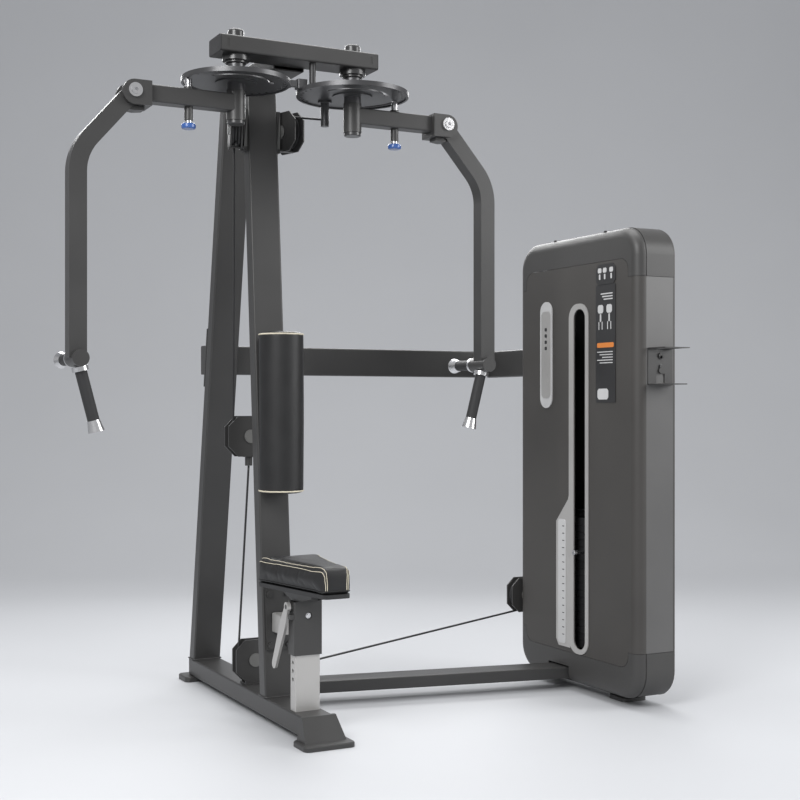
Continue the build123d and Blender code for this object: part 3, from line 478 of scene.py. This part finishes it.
def panels(name, boxes, x, thick, mat, body="frame"):
    """Thin raised plates on the tower's user side, each (y0, y1, z0, z1) with clipped corners."""
    verts, faces = [], []
    for y0, y1, z0, z1 in boxes:
        c = min(y1 - y0, z1 - z0) * 0.2
        ring = [(y0 + c, z0), (y1 - c, z0), (y1, z0 + c), (y1, z1 - c),
                (y1 - c, z1), (y0 + c, z1), (y0, z1 - c), (y0, z0 + c)]
        base = len(verts)
        verts += [at(x, y, z) for y, z in ring] + [at(x - thick, y, z) for y, z in ring]
        n = len(ring)
        faces.append(tuple(range(base + n, base + 2 * n)))
        faces += [(base + k, base + (k + 1) % n, base + n + (k + 1) % n, base + n + k) for k in range(n)]
    obj = new_object(name, verts, faces)
    return finish_piece(obj, body, mat, smooth=False)


def placard_art():
    rows, y0, y1 = [], -128, -36
    for i in range(3):
        rows.append((y0 + 6, y1 - 20 - 8 * i, 1352 - 9 * i, 1356 - 9 * i))
    for col in (-118, -70):
        rows += [(col, col + 30, 1290, 1318), (col + 11, col + 19, 1262, 1288)]
        rows += [(col + left, col + left + 4, 1236, 1262) for left in (4, 22)]
    for i in range(5):
        rows.append((y0 + 6, y1 - 14 * (i % 3), 1160 - 9 * i, 1163 - 9 * i))
    panels("placard_top", [(-136, -28, 1384, 1452)], 1055, 2, LABEL)
    for col in (-124, -88, -60):
        rows += [(col, col + 20, 1424, 1440), (col + 6, col + 14, 1402, 1420)]
    panels("placard_lines", rows, 1053, 0.5, PALE)
    panels("placard_bar", [(y0, y1, 1176, 1192)], 1053, 0.6, ORANGE)
    panels("placard_patch", [(y0 + 30, y1 - 2, 1004, 1040)], 1053, 0.6, PALE)
    panels("badge_field", [(240, 298, 1010, 1316)], 1051, 0.5, SILVER)
    panels("badge_bars", [(262, 276, 1180 + 22 * i, 1192 + 22 * i) for i in range(4)], 1050.4, 0.5, LABEL)
    panels("label_ticks", [(154, 166, 190 + 25 * i, 193 + 25 * i) for i in range(16)], 1050.4, 0.4, LABEL)


placard_art()


# ---- cables -------------------------------------------------------------------------------

CABLE_R = 0.0035
PITCH_R = 53
TOP_WHEEL_EXIT, TOP_WHEEL_Z = (72, 388), 1870
STUB_X, STUB_Y, STUB_Z, STUB_GAP = 142, 150, 1886, 14
BLOCK_X, BLOCK_Y = -14, 410
TOWER_X, STACK_Y = 1145, 66


def bending_cable(name, points, node):
    """A static cable tube along the given points, detached from every body, in place of a CAD node."""
    run = tube(name, [points], CABLE_R, "frame", WIRE, sides=12)
    world = run.matrix_world.copy()
    run.parent = None
    run.matrix_world = world
    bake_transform(run)
    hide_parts(node)


def cam_cables():
    """Over each top wheel and out to the stub under its cam disc."""
    a, b = Vector(TOP_WHEEL_EXIT), Vector((STUB_X, STUB_Y))
    u = (b - a).normalized()
    centre = a + u * PITCH_R
    reach, rise = (b - centre).length, STUB_Z - TOP_WHEEL_Z - 1
    leaves = math.atan2(rise, reach) + math.acos(PITCH_R / math.hypot(reach, rise))
    for side, sign in (("left", -1), ("right", 1)):
        points = []
        for k in range(17):
            t = math.pi + (leaves - math.pi) * k / 16
            p = centre + u * (PITCH_R * math.cos(t))
            points.append(at(sign * p.x, p.y, TOP_WHEEL_Z + PITCH_R * math.sin(t)))
        last = at(sign * (b.x - u.x * STUB_GAP), b.y - u.y * STUB_GAP, STUB_Z)
        start = points[-1].copy()
        points += [start.lerp(last, k / 24) for k in range(1, 25)]
        bending_cable(side + "_cam_cable", points, "cam_cables")


def moving_cable(name, fixed, moved, node):
    """A straight cable with one end on the frame and the other on a sliding body."""
    bending_cable(name, [fixed.lerp(moved, k / 40) for k in range(41)], node)


cam_cables()
for side, sign in (("left", -1), ("right", 1)):
    moving_cable(side + "_block_span", at(sign * TOP_WHEEL_EXIT[0], TOP_WHEEL_EXIT[1], TOP_WHEEL_Z - 0.6),
                 at(BLOCK_X + sign * PITCH_R, BLOCK_Y, 884.6), "block_spans")
moving_cable("low_cable_rise", at(-52.9, 404, 160.1), at(BLOCK_X, BLOCK_Y, 787.2),
             "main_cable_rise")
moving_cable("stack_cable_run", at(TOWER_X, STACK_Y, 1419.9), at(TOWER_X, STACK_Y, 658),
             "stack_cable")


# ---- stage, light, camera -----------------------------------------------------------------

HEADING = 0.4762  # radians that the view turns from +Y towards +X
FLOOR = surface("studio_floor", (0.54, 0.55, 0.57), 0.5, grain=60, bump=0.02, vary=0.02, cloud=0.6)


def stage():
    """A plain pale floor that curves up into a plain backdrop."""
    ahead = Vector((math.sin(HEADING), math.cos(HEADING), 0))
    side = Vector((ahead.y, -ahead.x, 0))
    front, bend, radius, top = -9, 3.2, 4, 12
    profile = [(front, 0), (bend, 0)]
    for k in range(1, 25):
        t = math.pi / 2 * k / 24
        profile.append((bend + radius * math.sin(t), radius - radius * math.cos(t)))
    profile.append((bend + radius, top))
    verts, faces = [], []
    for d, h in profile:
        for s in (-12, 12):
            verts.append(ahead * d + side * s + Vector((0, 0, h)))
    for i in range(len(profile) - 1):
        faces.append((2 * i, 2 * i + 1, 2 * i + 3, 2 * i + 2))
    sweep = new_object("studio_sweep", verts, faces)
    sweep.data.materials.append(FLOOR)
    for face in sweep.data.polygons:
        face.use_smooth = True


def lamp(name, where, target, size, watts, colour=(1, 1, 1)):
    data = bpy.data.lights.new(name, "AREA")
    data.shape = "RECTANGLE"
    data.size, data.size_y = size
    data.energy = watts
    data.color = colour
    obj = bpy.data.objects.new(name, data)
    bpy.context.scene.collection.objects.link(obj)
    obj.location = where
    obj.rotation_euler = (Vector(target) - Vector(where)).to_track_quat("-Z", "Y").to_euler()


stage()
lamp("key", (-3.2, -2.6, 3.6), (0, 0, 0.9), (2.2, 2.2), 170)
lamp("fill", (3.8, -3.0, 2.6), (0.3, 0, 0.9), (2.5, 2.5), 115)
lamp("top", (0.3, 0.4, 4.6), (0.2, 0.2, 0), (3.5, 3.0), 130)
lamp("back", (1.2, 3.4, 3.4), (0.4, 1.5, 4.0), (4, 1.5), 160)

world = bpy.data.worlds.new("studio")
bpy.context.scene.world = world
world.use_nodes = True
world.node_tree.nodes["Background"].inputs["Color"].default_value = (0.87, 0.875, 0.89, 1)
world.node_tree.nodes["Background"].inputs["Strength"].default_value = 0.55

lens = bpy.data.cameras.new("camera")
lens.sensor_width = 36
lens.lens = 59.85
lens.shift_y = 0.0065
camera = bpy.data.objects.new("camera", lens)
bpy.context.scene.collection.objects.link(camera)
camera.location = at(-1566.7, -3679.1, 985.1)
camera.rotation_euler = (math.radians(90), 0, -HEADING)
bpy.context.scene.camera = camera
bpy.context.scene.view_settings.view_transform = "Standard"
